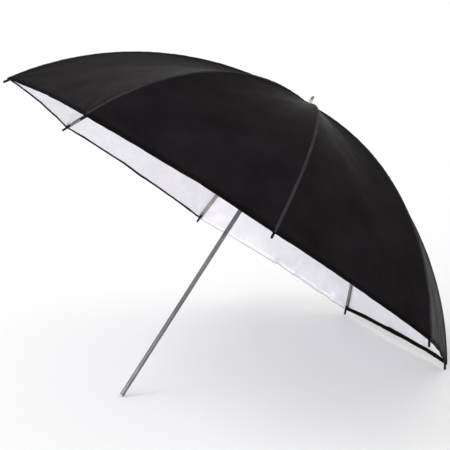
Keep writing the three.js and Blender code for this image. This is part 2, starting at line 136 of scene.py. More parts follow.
class Shader:
    """A material built up from nodes, which ends in one Principled shader."""

    def __init__(self, name, **constants):
        self.material = bpy.data.materials.new(name)
        self.material.use_nodes = True
        self.tree = self.material.node_tree
        self.surface = self.tree.nodes["Principled BSDF"]
        for socket, value in constants.items():
            self.surface.inputs[socket.replace("_", " ")].default_value = value

    def node(self, kind, inputs=(), **settings):
        made = self.tree.nodes.new("ShaderNode" + kind)
        for key, value in settings.items():
            setattr(made, key, value)
        for key, value in dict(inputs).items():
            if isinstance(value, bpy.types.NodeSocket):
                self.tree.links.new(value, made.inputs[key])
            else:
                made.inputs[key].default_value = value
        return made

    def cloth_place(self):
        """Place on the flat cloth: metres across and along the gore."""
        return self.node("UVMap", uv_map="Cloth").outputs["UV"]

    def object_place(self):
        return self.node("TexCoord").outputs["Object"]

    def stretched(self, place, scale):
        return self.node("Mapping", {"Vector": place, "Scale": scale}).outputs["Vector"]

    def noise(self, place, scale, detail=3.0, roughness=0.55):
        inputs = {"Vector": place, "Scale": scale, "Detail": detail, "Roughness": roughness}
        return self.node("TexNoise", inputs).outputs["Fac"]

    def threads(self, place, scale, direction):
        inputs = {"Vector": place, "Scale": scale, "Distortion": 0.4, "Detail": 1.0}
        wave = self.node("TexWave", inputs, bands_direction=direction)
        return wave.outputs["Fac"]

    def maths(self, operation, *values):
        return self.node("Math", dict(enumerate(values)), operation=operation).outputs[0]

    def spread(self, value, low, high, start=0.3, end=0.7):
        """value, from start to end, as a number from low to high."""
        inputs = {"Value": value, "From Min": start, "From Max": end, "To Min": low, "To Max": high}
        return self.node("MapRange", inputs).outputs["Result"]

    def colours(self, factor, *stops):
        """A colour ramp; each stop is (place, (r, g, b))."""
        ramp = self.node("ValToRGB", {"Fac": factor})
        elements = ramp.color_ramp.elements
        while len(elements) < len(stops):
            elements.new(0.5)
        for element, (place, colour) in zip(elements, stops):
            element.position = place
            element.color = (*colour, 1.0)
        return ramp.outputs["Color"]

    def bump(self, height, strength, distance, below=None):
        inputs = {"Height": height, "Strength": strength, "Distance": distance}
        if below is not None:
            inputs["Normal"] = below
        return self.node("Bump", inputs).outputs["Normal"]

    def drive(self, socket, value):
        self.tree.links.new(value, self.surface.inputs[socket])
        return self


def woven_bump(shader, place, pitch, strength, folds=0.35, fold_height=0.0012):
    """The relief of a plain weave, with the fine creases of handled cloth under it."""
    scale = 1 / (pitch * 6.2832 / 20)
    warp = shader.threads(place, scale, "X")
    weft = shader.threads(place, scale, "Y")
    creases = shader.noise(shader.stretched(place, (38.0, 16.0, 1.0)), 1.0, 4.0)
    under = shader.bump(creases, folds, fold_height)
    return shader.bump(shader.maths("MULTIPLY", warp, weft), strength, pitch / 3, under)


def black_satin(name, dark, light, roughness, sheen):
    shader = Shader(
        name,
        Specular_IOR_Level=0.0026,
        Sheen_Weight=sheen,
        Sheen_Roughness=0.30,
        Sheen_Tint=(0.75, 0.70, 0.72, 1.0),
    )
    cloth = shader.cloth_place()
    blotches = shader.noise(cloth, 14.0, 3.0)
    slubs = shader.noise(shader.stretched(cloth, (900.0, 70.0, 1.0)), 1.0, 2.0)
    mixed = shader.maths("MULTIPLY_ADD", slubs, 0.3, shader.maths("MULTIPLY", blotches, 0.7))
    shader.drive("Base Color", shader.colours(mixed, (0.32, dark), (0.68, light)))
    shader.drive("Roughness", shader.spread(mixed, roughness - 0.05, roughness + 0.06))
    shader.drive("Normal", woven_bump(shader, cloth, 0.0009, 0.22))
    return shader.material


def silver_lining():
    shader = Shader("silver_lining", Specular_IOR_Level=0.5, Sheen_Weight=0.08)
    cloth = shader.cloth_place()
    place = shader.object_place()
    tone = shader.noise(place, 3.2, 2.0)
    cloudy = shader.noise(cloth, 22.0, 3.0)
    colour = shader.colours(tone, (0.35, (0.84, 0.84, 0.91)), (0.65, (0.93, 0.91, 0.95)))
    shade = shader.spread(cloudy, 0.95, 1.03)
    shaded = shader.node("VectorMath", {0: colour, 1: shade}, operation="MULTIPLY").outputs[0]
    shader.drive("Base Color", shaded)
    shader.drive("Metallic", shader.spread(cloudy, 0.50, 0.62))
    shader.drive("Roughness", shader.spread(cloudy, 0.33, 0.42))
    shader.drive("Normal", woven_bump(shader, cloth, 0.0009, 0.12, 1.0, 0.0026))
    return shader.material


def bare_metal(name, dark, light, roughness, grain):
    """Metal with fine marks drawn along the part, and duller patches from handling."""
    shader = Shader(name, Metallic=1.0)
    place = shader.object_place()
    marks = shader.noise(shader.stretched(place, grain), 1.0, 4.0, 0.7)
    patches = shader.noise(place, 45.0, 3.0)
    shader.drive("Base Color", shader.colours(patches, (0.35, dark), (0.65, light)))
    worn = shader.maths("MULTIPLY_ADD", marks, 0.5, shader.maths("MULTIPLY", patches, 0.5))
    shader.drive("Roughness", shader.spread(worn, roughness * 0.7, roughness * 1.4))
    shader.drive("Normal", shader.bump(marks, 0.08, 0.0002))
    return shader.material


def moulded_plastic(name, dark, light, roughness, specular):
    shader = Shader(name, Specular_IOR_Level=specular)
    place = shader.object_place()
    grain = shader.noise(place, 2600.0, 2.0)
    scuffs = shader.noise(place, 180.0, 4.0)
    shader.drive("Base Color", shader.colours(scuffs, (0.40, dark), (0.72, light)))
    shader.drive("Roughness", shader.spread(scuffs, roughness, roughness + 0.15))
    shader.drive("Normal", shader.bump(grain, 0.15, 0.00008))
    return shader.material


def twisted_thread():
    shader = Shader("thread", Specular_IOR_Level=0.2, Sheen_Weight=0.05)
    place = shader.object_place()
    twist = shader.noise(place, 4200.0, 2.0)
    dark, light = (0.010, 0.009, 0.010), (0.026, 0.024, 0.026)
    shader.drive("Base Color", shader.colours(twist, (0.35, dark), (0.65, light)))
    shader.drive("Roughness", shader.spread(twist, 0.6, 0.8))
    shader.drive("Normal", shader.bump(twist, 0.4, 0.0001))
    return shader.material


SATIN = black_satin("black_satin", (0.0090, 0.0070, 0.0084), (0.0160, 0.0130, 0.0152), 0.32, 0.002)
HEM_SATIN = black_satin("hem_satin", (0.0056, 0.0044, 0.0052), (0.0090, 0.0076, 0.0086), 0.45, 0.002)
# The seams' satin, which the patch under the ferrule uses too, is lighter than the gores' satin: a painted
# highlight for the light that the raised cloth catches.
SEAM_SATIN_PAINTED_HIGHLIGHT = black_satin("seam_satin_painted_highlight", (0.030, 0.0275, 0.033), (0.046, 0.043, 0.050), 0.45, 0.004)
LINING = silver_lining()
THREAD = twisted_thread()
CHROME = bare_metal("chrome", (0.165, 0.168, 0.185), (0.235, 0.24, 0.26), 0.09, (60.0, 60.0, 900.0))
NICKEL = bare_metal("nickel", (0.40, 0.355, 0.33), (0.55, 0.50, 0.47), 0.30, (400.0, 400.0, 400.0))
WIRE = bare_metal("bright_wire", (0.50, 0.49, 0.48), (0.62, 0.61, 0.60), 0.25, (500.0, 500.0, 500.0))
SPRING = bare_metal("spring_steel", (0.30, 0.31, 0.34), (0.45, 0.46, 0.48), 0.28, (300.0, 300.0, 300.0))
COLLAR = bare_metal("plated_brass", (0.62, 0.50, 0.36), (0.80, 0.70, 0.55), 0.22, (500.0, 500.0, 500.0))
PLASTIC = moulded_plastic("black_plastic", (0.010, 0.010, 0.011), (0.024, 0.024, 0.026), 0.42, 0.30)
TIP_PLASTIC = moulded_plastic("tip_plastic", (0.005, 0.005, 0.006), (0.013, 0.013, 0.014), 0.30, 0.16)

# ---------------------------------------------------------------- mesh helpers


def mesh_of(name, points, faces, materials, face_materials=None, normals=None, flat_cloth=None):
    """A mesh from points in the row's frame. normals and flat_cloth give each corner's own values."""
    mesh = bpy.data.meshes.new(name)
    mesh.from_pydata([tuple(p) for p in points], [], faces)
    for material in materials:
        mesh.materials.append(material)
    if face_materials is not None:
        mesh.polygons.foreach_set("material_index", face_materials)
    mesh.polygons.foreach_set("use_smooth", [True] * len(mesh.polygons))
    if flat_cloth is not None:
        layer = mesh.uv_layers.new(name="Cloth")
        layer.uv.foreach_set("vector", np.asarray(flat_cloth, np.float32).ravel())
    mesh.update()
    if normals is not None:
        mesh.normals_split_custom_set([tuple(n) for n in normals])
    return mesh


def piece(name, mesh, body, replaced=()):
    """A shown piece in the row's frame, riding on a body."""
    made = bpy.data.objects.new(name, mesh)
    bpy.context.scene.collection.objects.link(made)
    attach(made, body)
    if replaced:
        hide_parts(*replaced)
    return made


def placed(matrix, points):
    return np.asarray(points) @ np.array(matrix.to_3x3()).T + np.array(matrix.translation)


def grid_faces(rows, columns, first=0, flipped=False):
    """Quads between (rows + 1) lines of (columns + 1) points."""
    faces = []
    for row in range(rows):
        for column in range(columns):
            a = first + row * (columns + 1) + column
            quad = (a, a + columns + 1, a + columns + 2, a + 1)
            faces.append(quad[::-1] if flipped else quad)
    return faces


def smooth_by_angle(mesh, degrees=35):
    """Marks the edges sharper than this, so that only rounded surfaces shade smoothly."""
    mesh.set_sharp_from_angle(angle=math.radians(degrees))
    return mesh


def turned(profile, segments=72):
    """(points, faces) of a solid of revolution about Z; profile goes up the outside as (radius, z)."""
    points = []
    rings = []
    for radius, z in profile:
        if radius < 1e-9:
            rings.append([len(points)])
            points.append((0.0, 0.0, z))
            continue
        rings.append(list(range(len(points), len(points) + segments)))
        for i in range(segments):
            turn = 2 * math.pi * i / segments
            points.append((radius * math.cos(turn), radius * math.sin(turn), z))
    closes_on_itself = len(rings[0]) > 1
    pairs = list(zip(rings, rings[1:] + rings[:1])) if closes_on_itself else list(zip(rings, rings[1:]))
    faces = []
    for lower, upper in pairs:
        for i in range(segments):
            j = (i + 1) % segments
            if len(lower) == 1:
                faces.append((lower[0], upper[j], upper[i]))
            elif len(upper) == 1:
                faces.append((lower[i], lower[j], upper[0]))
            else:
                faces.append((lower[i], lower[j], upper[j], upper[i]))
    return points, faces


def rounded(profile, radius, steps=3):
    """A closed profile of (radius, z) points with every corner rounded off."""
    soft = []
    count = len(profile)
    for i in range(count):
        here = np.array(profile[i])
        before = np.array(profile[i - 1]) - here
        after = np.array(profile[(i + 1) % count]) - here
        reach = min(radius, 0.45 * np.linalg.norm(before), 0.45 * np.linalg.norm(after))
        start = here + before / np.linalg.norm(before) * reach
        end = here + after / np.linalg.norm(after) * reach
        for step in range(steps + 1):
            t = step / steps
            soft.append(tuple((1 - t) ** 2 * start + 2 * t * (1 - t) * here + t**2 * end))
    return soft


def swept(section, centres, frames):
    """(points, faces) of a closed section swept along centres; each frame is (across, inwards)."""
    points = []
    for centre, (across, inwards) in zip(centres, frames):
        for x, y in section:
            points.append(centre + across * x + inwards * y)
    count = len(section)
    faces = []
    for row in range(len(centres) - 1):
        for i in range(count):
            j = (i + 1) % count
            a, b = row * count, (row + 1) * count
            faces.append((a + i, a + j, b + j, b + i))
    faces.append(tuple(range(count))[::-1])
    last = (len(centres) - 1) * count
    faces.append(tuple(range(last, last + count)))
    return points, faces


def temporary(points, faces):
    mesh = mesh_of("temporary", points, faces, [])
    made = bpy.data.objects.new("temporary", mesh)
    bpy.context.scene.collection.objects.link(made)
    return made


def combined(shape, tools, operation):
    """shape with each tool joined to it or cut from it, as (points, faces)."""
    base = temporary(*shape)
    cutters = [temporary(*tool) for tool in tools]
    for cutter in cutters:
        modifier = base.modifiers.new("Boolean", "BOOLEAN")
        modifier.operation = operation
        modifier.solver = "EXACT"
        modifier.object = cutter
    evaluated = base.evaluated_get(bpy.context.evaluated_depsgraph_get())
    mesh = evaluated.to_mesh()
    points = [tuple(v.co) for v in mesh.vertices]
    faces = [tuple(p.vertices) for p in mesh.polygons]
    evaluated.to_mesh_clear()
    for spare in (base, *cutters):
        bpy.data.meshes.remove(spare.data)
    return points, faces


def block(low, high, turn=0.0):
    """(points, faces) of a box, turned about Z."""
    corners = [(x, y, z) for x in (low[0], high[0]) for y in (low[1], high[1]) for z in (low[2], high[2])]
    matrix = Matrix.Rotation(turn, 4, "Z")
    faces = [(0, 1, 3, 2), (4, 6, 7, 5), (0, 4, 5, 1), (2, 3, 7, 6), (0, 2, 6, 4), (1, 5, 7, 3)]
    return [tuple(matrix @ Vector(c)) for c in corners], faces


# ---------------------------------------------------------------- the cloth's surface

TABLE_SIZE = 64
RANDOM_TABLE = np.random.default_rng(11).uniform(-1.0, 1.0, (TABLE_SIZE, TABLE_SIZE))


def rough(x, y, seed=0):
    """Smooth random relief from -1 to 1, which varies over a length of about 1 in x and y."""
    x, y = np.broadcast_arrays(np.asarray(x, float) + 17.3 * seed, np.asarray(y, float) + 9.1 * seed)
    column, row = np.floor(x).astype(int), np.floor(y).astype(int)
    fx, fy = x - column, y - row
    fx, fy = fx * fx * (3 - 2 * fx), fy * fy * (3 - 2 * fy)
    at = lambda i, j: RANDOM_TABLE[(row + j) % TABLE_SIZE, (column + i) % TABLE_SIZE]
    top = at(0, 0) * (1 - fx) + at(1, 0) * fx
    bottom = at(0, 1) * (1 - fx) + at(1, 1) * fx
    return top * (1 - fy) + bottom * fy


def eased(value, start, end):
    t = np.clip((value - start) / (end - start), 0.0, 1.0)
    return t * t * (3 - 2 * t)


def gore_width(along):
    """The straight distance between two neighbouring ribs."""
    return 2 * SPHERE_RADIUS * np.sin(RIM_ANGLE * along) * math.sin(SPOKE_STEP / 2)


# How loosely each gore hangs, from the one between ribs 1 and 2 on.
GORE_FOLDS = (0.7, 1.0, 0.8, 0.5, 0.7, 0.5, 2.6, 1.3)
# How strongly the hem of each gore crinkles.
HEM_RIPPLES = (3.2, 0.8, 0.8, 0.7, 0.7, 0.7, 1.0, 0.8)


def relief(gore, share, along):
    """How far the cloth stands out of its smooth form: puckers, folds and the hem's ripples."""
    side = 1 - np.abs(1 - 2 * share)
    seam = np.where(share < 0.5, gore, gore + 1)
    from_seam = side / 2 * gore_width(along)
    distance = along * ARC_LENGTH
    from_rim = np.maximum(1 - along, 0.0) * ARC_LENGTH
    away_from_apex = eased(along, 0.04, 0.2)

    puckers = rough(distance / 0.0085 + 0.35 * from_seam / 0.0085, seam * 5.7, 1)
    puckers = puckers + 0.6 * rough(distance / 0.021, seam * 3.1, 2)
    near_seam = np.exp(-from_seam / 0.016) * (1 - side**2) ** 2 * eased(from_seam, 0.0, 0.003)
    pucker = 0.0006 * puckers * near_seam * away_from_apex

    swell = 0.0018 * rough(share * 3.0 + gore * 7, along * 4.5, 3) * side
    swell = swell + 0.0009 * rough(share * 8.0 + gore * 3, along * 13.0, 4) * side

    lengthwise = rough(share * 9.0 + 0.8 * rough(along * 3.0, gore, 5), gore * 2.3 + along * 2.2, 6)
    fold = 0.0011 * GORE_FOLDS[gore] * lengthwise * side * eased(along, 0.25, 0.8)

    corner = np.hypot(from_seam, from_rim)
    turn = np.arctan2(from_seam, from_rim + 0.004)
    fan = np.sin(turn * 9 + 2.0 * rough(corner / 0.05, seam * 1.7, 7) + seam)
    fan_folds = 0.0008 * fan * np.exp(-corner / 0.075) * corner / (corner + 0.012) * (1 - side**4)

    ripples = rough(share * gore_width(1.0) / 0.012 + gore * 31, from_rim / 0.03, 8)
    hem = 0.0009 * HEM_RIPPLES[gore] * ripples * np.exp(-from_rim / 0.018) * np.minimum(1.0, side * 5)
    return pucker + (swell + fold) * away_from_apex + fan_folds + hem


def sag_depth(along):
    """How far the middle of a gore hangs below the chords between its ribs."""
    turn = math.pi * np.minimum(along, 1.0)
    return CLOTH["sag"] * np.sin(turn) + CLOTH["crown_sag"] * np.sin(2 * turn) + CLOTH["hem_sag"] * along


def cloth_point(gore, share, along, raised=0.0):
    """The canopy's outer face. gore is the number of the rib before it, less one; share runs from that
    rib at 0 to the next at 1, and along from the shaft at 0 to the rim at 1."""
    side = 1 - np.abs(1 - 2 * share)
    sink = side * (2 - side)
    angle = RIM_ANGLE * along * (1 - CLOTH["scallop"] * sink)
    radial = SPHERE_RADIUS * np.sin(angle)
    start, end = azimuth(gore + 1), azimuth(gore + 2)
    point = np.stack([
        radial * ((1 - share) * math.cos(start) + share * math.cos(end)),
        radial * ((1 - share) * math.sin(start) + share * math.sin(end)),
        SPHERE_Z + SPHERE_RADIUS * np.cos(angle),
    ], axis=-1)
    outwards = point - np.array([0.0, 0.0, SPHERE_Z])
    outwards = outwards / np.linalg.norm(outwards, axis=-1, keepdims=True)
    height = relief(gore, share, along) - sink * sag_depth(along) + raised
    return point + outwards * np.asarray(height)[..., None]


def cloth_normal(gore, share, along, step=0.0008):
    """The outward normal, from the surface's own slope. Close to a rib it stays on one gore's side."""
    share = np.asarray(share, float)
    low, high = np.clip(share - step, 0.0, 1.0), np.clip(share + step, 0.0, 1.0)
    across = cloth_point(gore, high, along) - cloth_point(gore, low, along)
    down = cloth_point(gore, share, along + step) - cloth_point(gore, share, along - step)
    normal = np.cross(down, across)
    return normal / np.linalg.norm(normal, axis=-1, keepdims=True)


def flat_place(share, along):
    """The same place on the flat cut, in metres across and along the gore."""
    share, along = np.broadcast_arrays(share, along)
    return np.stack([(share - 0.5) * gore_width(along), ARC_LENGTH * along], axis=-1)


def band_edges():
    """Where the bands of a half gore start and end along the rib. From the crown's bands on, each
    band closes over an equal part of the fold."""
    first = math.asin(CLOTH["inner_radius"] / SPHERE_RADIUS) / RIM_ANGLE
    drop = 1 - math.cos(RIM_ANGLE)
    ends = [math.acos(1 - drop * band / EVEN_BANDS) / RIM_ANGLE for band in range(1, EVEN_BANDS + 1)]
    return [first, *CROWN_BANDS, *ends]


def closed(vector, about=(0.0, 0.0)):
    """A place, or with no pivot a direction, in a rib's frame once the umbrella is closed."""
    x, z = vector[0] - about[0], vector[2] - about[1]
    cos, sin = math.cos(CLOSING_TURN), math.sin(CLOSING_TURN)
    return np.array([about[0] + x * cos + z * sin, vector[1], about[1] + z * cos - x * sin])


def fold_of(side, top, bottom):
    """The direction, anchor and share kept, in a rib's frame, with which a band of one half gore folds
    towards its rib, so that its free edge then meets the next rib's half of the same gore."""
    middle = (top + bottom) / 2
    angle = RIM_ANGLE * middle
    rib_line = np.array([math.cos(angle), 0.0, -math.sin(angle)])
    anchor_x, anchor_z = on_arc(SPHERE_RADIUS, angle)
    anchor = np.array([anchor_x, 0.0, anchor_z])

    def free_edge(along):
        radial, z = on_arc(SPHERE_RADIUS, RIM_ANGLE * along * (1 - CLOTH["scallop"]))
        half = np.array([
            radial * (1 + math.cos(SPOKE_STEP)) / 2,
            side * radial * math.sin(SPOKE_STEP) / 2,
            z,
        ])
        inwards = np.array([0.0, 0.0, SPHERE_Z]) - half
        return half + inwards / np.linalg.norm(inwards) * float(sag_depth(along))

    across = free_edge(middle) - anchor
    across = across - rib_line * (across @ rib_line)
    across = across / np.linalg.norm(across)
    edge = free_edge(top)
    reach = (edge - anchor) @ across
    slope = side * math.tan(SPOKE_STEP / 2)
    edge_closed, across_closed = closed(edge, HINGE), closed(across)
    lost = (edge_closed[1] - slope * edge_closed[0]) / (reach * (across_closed[1] - slope * across_closed[0]))
    return across, anchor, min(max(1 - lost, 0.01), 1.0)


# ---------------------------------------------------------------- canopy


def cloth_shell(name, gore, shares, alongs):
    """A closed piece of cloth with a black outside, a silver inside and shading that runs on into its
    neighbours. shares go across from left to right, alongs from the shaft outwards."""
    share, along = np.meshgrid(shares, alongs)
    outer = cloth_point(gore, share, along)
    normal = cloth_normal(gore, share, along)
    inner = outer - normal * CLOTH["thickness"]
    flat = flat_place(share, along).reshape(-1, 2)
    rows, columns = len(alongs) - 1, len(shares) - 1
    layer = (rows + 1) * (columns + 1)
    faces = grid_faces(rows, columns) + grid_faces(rows, columns, layer, True)
    kinds = [0] * (rows * columns) + [1] * (rows * columns)
    rim = [row * (columns + 1) for row in range(rows + 1)]
    rim += [rows * (columns + 1) + column for column in range(1, columns + 1)]
    rim += [row * (columns + 1) + columns for row in range(rows - 1, -1, -1)]
    rim += list(range(columns - 1, 0, -1))
    for a, b in zip(rim, rim[1:] + rim[:1]):
        faces.append((b, a, a + layer, b + layer))
        kinds.append(0)
    turn = UMBRELLA.to_3x3()
    points = placed(UMBRELLA, np.concatenate([outer.reshape(-1, 3), inner.reshape(-1, 3)]))
    outward = normal.reshape(-1, 3) @ np.array(turn).T
    corner_normals = []
    for face, kind in zip(faces[: 2 * rows * columns], kinds):
        for vertex in face:
            corner_normals.append(outward[vertex % layer] * (1 if vertex < layer else -1))
    for face in faces[2 * rows * columns:]:
        a, b, c = (points[i] for i in face[:3])
        wall = np.cross(b - a, c - a)
        corner_normals.extend([wall / max(np.linalg.norm(wall), 1e-12)] * 4)
    flat_corners = [flat[vertex % layer] for face in faces for vertex in face]
    return mesh_of(name, points, faces, [SATIN, LINING], kinds, corner_normals, flat_corners)


def half_gores():
    """(rib number, side, gore, shares from left to right) of each half gore."""
    toward_middle = np.linspace(0.0, 1.0, HALF_COLUMNS + 1) ** 1.25 / 2
    for number in range(1, SPOKES + 1):
        yield number, 1, number - 1, toward_middle
        yield number, -1, (number - 2) % SPOKES, 1 - toward_middle[::-1]


def fold(made, number, side, top, bottom):
    across, anchor, keep = fold_of(side, top, bottom)
    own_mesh(made)


# The outer part of the hem's section: distance from the rim, height over the cloth's outer face.
HEM_SECTION = (
    (0.0092, 0.00005), (0.0088, 0.00045), (0.0060, 0.00060), (0.0012, 0.00062), (-0.0002, 0.00045),
    (-0.0009, -0.00010), (-0.0010, -0.00060), (-0.0006, -0.00115), (0.0002, -0.00145),
)


def hem_shell(name, gore, shares, inner_width):
    """The folded hem along the rim. It reaches further inside on some gores than on others."""
    section = [*HEM_SECTION, (inner_width - 0.0006, -0.00150), (inner_width, -0.00120),
               (inner_width, -0.00030), (0.0092, -0.00030)]
    points, flat = [], []
    for share in shares:
        wander = 1 + 0.3 * float(rough(share * 14, gore * 3.0, 9))
        for distance, height in section:
            inside = wander if distance > 0 and height < -0.0008 else 1.0
            along = 1 - distance * inside / ARC_LENGTH
            points.append(cloth_point(gore, share, along, height))
            flat.append(flat_place(share, along))
    count = len(section)
    faces = []
    for row in range(len(shares) - 1):
        for i in range(count):
            j = (i + 1) % count
            a, b = row * count, (row + 1) * count
            faces.append((a + i, b + i, b + j, a + j))
    faces.append(tuple(range(count)))
    last = (len(shares) - 1) * count
    faces.append(tuple(range(last, last + count))[::-1])
    kinds = [0] * len(faces)
    if gore in SILVER_HEMS:
        inner = range(len(HEM_SECTION) - 1, count)
        kinds = [2 if face < (len(shares) - 1) * count and face % count in inner else 0
                 for face in range(len(faces))]
    stitched = 1 - HEM_STITCHES["from_rim"] / ARC_LENGTH
    row = stitches([(gore, share, stitched, HEM_STITCHES["height"]) for share in spaced_shares(shares)])
    points, faces, kinds, flat = with_stitches(points, faces, kinds, flat, row)
    flat_corners = [flat[vertex] for face in faces for vertex in face]
    mesh = mesh_of(name, placed(UMBRELLA, points), faces, [HEM_SATIN, THREAD, LINING], kinds,
                   None, flat_corners)
    return smooth_by_angle(mesh, 50)


STITCH = {"length": 0.0023, "pitch": 0.0034, "radius": 0.00022, "sides": 6, "rings": 4}
HEM_STITCHES = {"from_rim": 0.0070, "height": 0.00062}
SEAM_STITCHES = {"offset": 0.0011, "height": 0.00078}


def stitches(places):
    """Points of one row of stitches, each a short rounded length of thread that lies on the cloth.
    A place is (gore, share, along, height), and the row runs through them in order."""
    made = []
    centres = [cloth_point(gore, share, along, height) for gore, share, along, height in places]
    for i in range(len(places) - 1):
        gore, share, along, _ = places[i]
        way = centres[i + 1] - centres[i]
        way = way / np.linalg.norm(way)
        normal = cloth_normal(gore, np.clip(share, 0.002, 0.998), along)
        side = np.cross(normal, way)
        for ring in range(STITCH["rings"] + 1):
            share_of_length = ring / STITCH["rings"]
            bulge = math.sin(math.pi * (0.12 + 0.76 * share_of_length))
            middle = centres[i] + way * STITCH["length"] * share_of_length
            for corner in range(STITCH["sides"]):
                turn = 2 * math.pi * corner / STITCH["sides"]
                offset = side * math.cos(turn) + normal * math.sin(turn)
                made.append(middle + offset * STITCH["radius"] * bulge)
    return made


def with_stitches(points, faces, kinds, flat, row):
    """The points, faces, materials and flat places of a piece with a row of stitches added to it."""
    points, faces, kinds, flat = list(points), list(faces), list(kinds), list(flat)
    sides, rings = STITCH["sides"], STITCH["rings"]
    per_stitch = sides * (rings + 1)
    for start in range(len(points), len(points) + len(row), per_stitch):
        for ring in range(rings):
            for corner in range(sides):
                after = (corner + 1) % sides
                a, b = start + ring * sides, start + (ring + 1) * sides
                faces.append((a + corner, a + after, b + after, b + corner))
        faces.append(tuple(range(start, start + sides))[::-1])
        faces.append(tuple(range(start + rings * sides, start + per_stitch)))
    kinds += [1] * (len(faces) - len(kinds))
    return points + row, faces, kinds, flat + [np.array([0.0, 0.0])] * len(row)


def spaced_shares(shares):
    """Where the stitches of a hem start."""
    low, high = min(shares), max(shares)
    count = int((high - low) * float(gore_width(1.0)) / STITCH["pitch"])
    return [low + (high - low) * (i + 0.5) / count for i in range(count)]


def seam_strip(number):
    """The felled seam over a rib: a raised ridge with a row of stitches on each side of its top."""
    matrix = Matrix.Rotation(azimuth(number), 4, "Z")
    gore = number - 1
    section = ((0.0023, -0.0012), (0.0024, -0.0001), (0.0019, 0.00055), (0.0008, 0.00080),
               (-0.0008, 0.00078), (-0.0019, 0.00050), (-0.0027, -0.00015), (-0.0026, -0.0012))
    points, flat = [], []
    first = math.asin(PATCH["outer"] / SPHERE_RADIUS) / RIM_ANGLE
    alongs = np.linspace(first, 1 - 0.0012 / ARC_LENGTH, 260)
    for along in alongs:
        angle = RIM_ANGLE * along
        x, z = on_arc(SPHERE_RADIUS, angle)
        outwards = np.array([math.sin(angle), 0.0, math.cos(angle)])
        lift = 1 + 0.28 * float(rough(along * ARC_LENGTH / 0.006, number * 4.0, 10))
        sway = 0.00025 * float(rough(along * ARC_LENGTH / 0.03, number * 2.0, 11))
        narrow = min(1.0, 0.35 + along * 8)
        crease = math.sin(angle) * math.tan(SPOKE_STEP / 2)
        for across, height in section:
            drop = abs(across) * narrow * crease
            raised = height * lift if height > 0 else height
            point = np.array([x, across * narrow + sway, z]) + outwards * (raised - drop)
            points.append(np.array(matrix.to_3x3() @ Vector(point)))
            flat.append(np.array([across, along * ARC_LENGTH]))
    count = len(section)
    faces = []
    for row in range(len(alongs) - 1):
        for i in range(count):
            j = (i + 1) % count
            a, b = row * count, (row + 1) * count
            faces.append((a + i, a + j, b + j, b + i)[::-1])
    faces.append(tuple(range(count)))
    last = (len(alongs) - 1) * count
    faces.append(tuple(range(last, last + count))[::-1])
    kinds = [0] * len(faces)
    stitch_alongs = np.arange(0.03, 1 - 0.012, STITCH["pitch"] / ARC_LENGTH)
    for offset in (SEAM_STITCHES["offset"], -SEAM_STITCHES["offset"]):
        places = []
        for along in stitch_alongs:
            share = offset / float(gore_width(along))
            own_gore = gore if share > 0 else (gore - 1) % SPOKES
            own_share = share if share > 0 else 1 + share
            places.append((own_gore, own_share, along, SEAM_STITCHES["height"]))
        points, faces, kinds, flat = with_stitches(points, faces, kinds, flat, stitches(places))
    flat_corners = [flat[vertex] for face in faces for vertex in face]
    # The seam's ridge takes the lighter satin: a painted highlight.
    mesh = mesh_of(f"seam_{number}", placed(UMBRELLA, points), faces, [SEAM_SATIN_PAINTED_HIGHLIGHT, THREAD], kinds, None,
                   flat_corners)
    return smooth_by_angle(mesh, 60)


# How far the hem shows inside, on the gore after each rib.
HEM_INSIDE = (0.0075, 0.0030, 0.0022, 0.0030, 0.0030, 0.0034, 0.0040, 0.0072)
# The gores whose hem is covered by the lining on its inner side.
SILVER_HEMS = (0,)


def make_canopy():
    edges = band_edges()
    for number, side, gore, shares in half_gores():
        hand = "left" if side > 0 else "right"
        for band, (top, bottom) in enumerate(zip(edges, edges[1:]), 1):
            name = f"canopy_{number}_{hand}_{band}"
            rows = max(5, round((bottom - top) * ARC_LENGTH / ROW_LENGTH))
            mesh = cloth_shell(name, gore, shares, np.linspace(top, bottom, rows + 1))
            made = piece(name, mesh, f"rib_body_{number}", [f"canopy_panel_{number}"])
            fold(made, number, side, top, bottom)
            on_it = []
            if bottom == edges[-1]:
                hem = hem_shell(f"hem_{number}_{hand}", gore, np.linspace(shares[0], shares[-1], 60),
                                HEM_INSIDE[gore])
                on_it.append(piece(hem.name, hem, f"rib_body_{number}"))
                fold(on_it[0], number, side, top, bottom)
                if side > 0:
                    on_it.append(piece(f"seam_{number}", seam_strip(number), f"rib_body_{number}"))


# ---------------------------------------------------------------- ribs and their tips


def channel(width, depth, wall):
    """A U-shaped section with its closed side outwards and its corners rounded."""
    x, y = width / 2, depth / 2
    return rounded([(-x, -y), (x, -y), (x, y), (x - wall, y), (x - wall, wall - y), (wall - x, wall - y),
                    (wall - x, y), (-x, y)], 0.00045, 2)


def rib_path(start, end, steps):
    """Centres and (across, inwards) frames along the rib's arc, in its spoke's frame."""
    centres, frames = [], []
    for angle in np.linspace(start, end, steps + 1):
        x, z = on_arc(RIB_RADIUS, angle)
        centres.append(np.array([x, 0.0, z]))
        inwards = np.array([-math.sin(angle), 0.0, -math.cos(angle)])
        frames.append((np.array([0.0, 1.0, 0.0]), inwards))
    return centres, frames


def flat_plate(outline, thickness):
    """(points, faces) of a plate in the XZ plane with a rounded edge, from its outline."""
    half = thickness / 2
    points, faces = [], []
    centre = np.mean(outline, axis=0)
    lines = [(-half, 0.88), (-half * 0.75, 1.0), (half * 0.75, 1.0), (half, 0.88)]
    for y, share in lines:
        for x, z in outline:
            shrunk = centre + (np.array([x, z]) - centre) * share
            points.append((shrunk[0], y, shrunk[1]))
    count = len(outline)
    for row in range(len(lines) - 1):
        for i in range(count):
            j = (i + 1) % count
            faces.append((row * count + i, row * count + j, (row + 1) * count + j, (row + 1) * count + i))
    faces.append(tuple(range(count))[::-1])
    faces.append(tuple(range(3 * count, 4 * count)))
    return points, faces


